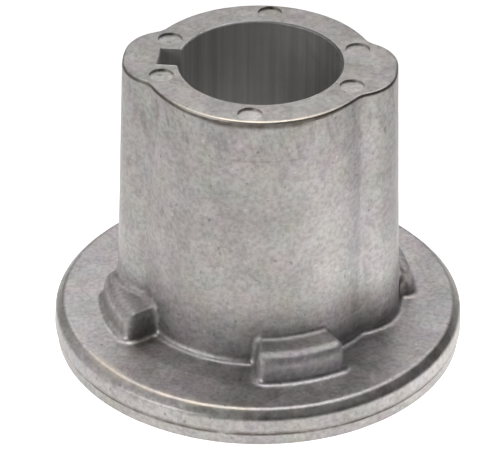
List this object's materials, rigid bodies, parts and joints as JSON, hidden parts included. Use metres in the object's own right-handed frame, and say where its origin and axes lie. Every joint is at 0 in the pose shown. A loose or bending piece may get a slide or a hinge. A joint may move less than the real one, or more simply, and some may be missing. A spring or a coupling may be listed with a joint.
{
  "type": "flanged bushing",
  "caption": "Die-cast keyed flanged bushing for a garden machine: a drafted boss with side ears on a round flange with driving lugs, bored through for a keyed shaft.",
  "frame": {"origin": "centre of the bore at the flange's seating face", "axes": "+Z along the bore towards the boss end, X along the two ears with the keyway on the -X side"},
  "size_m": [0.0644, 0.0644, 0.0485],
  "materials": {
    "cast_aluminium": "as-cast, fine-grained satin"
  },
  "bodies": {
    "root": {"flanged_bushing": "cast_aluminium"}
  },
  "joints": []
}
